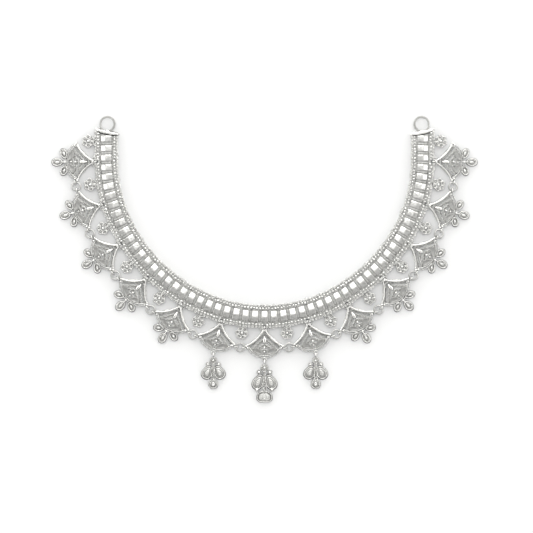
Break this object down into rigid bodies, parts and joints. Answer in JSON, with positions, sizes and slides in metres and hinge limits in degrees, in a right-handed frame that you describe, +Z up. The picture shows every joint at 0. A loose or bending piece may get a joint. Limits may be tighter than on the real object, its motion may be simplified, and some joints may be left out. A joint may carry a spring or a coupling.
{
  "type": "collar necklace",
  "caption": "Rigid open collar necklace of silver with a row of crowned tiles, pierced fans linked by rings, small rosettes and three hanging drops.",
  "frame": {"origin": "middle of the necklace's outline, on the surface that it lies on", "axes": "+X towards the right end, +Y towards the open end of the hoop, +Z up from the surface"},
  "size_m": [0.1918, 0.1294, 0.0022],
  "materials": {
    "aged_silver": "worked silver, bright on high places, darkened in the recesses",
    "polished_silver": "polished silver wire and bars"
  },
  "bodies": {
    "root": {"collar_band": "aged_silver", "fan_left_6": "aged_silver", "fan_left_5": "aged_silver", "fan_left_4": "aged_silver", "fan_left_3": "aged_silver", "fan_left_2": "aged_silver", "fan_left_1": "aged_silver", "fan_middle": "aged_silver", "fan_right_1": "aged_silver", "fan_right_2": "aged_silver", "fan_right_3": "aged_silver", "fan_right_4": "aged_silver", "fan_right_5": "aged_silver", "fan_right_6": "aged_silver", "drop_left_1": "aged_silver", "drop_middle": "aged_silver", "drop_right_1": "aged_silver", "end_bar_left": "polished_silver", "end_bar_right": "polished_silver", "link_ring_left_6": "polished_silver", "link_ring_left_5": "polished_silver", "link_ring_left_4": "polished_silver", "link_ring_left_3": "polished_silver", "link_ring_left_2": "polished_silver", "link_ring_left_1": "polished_silver", "link_ring_right_1": "polished_silver", "link_ring_right_2": "polished_silver", "link_ring_right_3": "polished_silver", "link_ring_right_4": "polished_silver", "link_ring_right_5": "polished_silver", "link_ring_right_6": "polished_silver"}
  },
  "joints": []
}
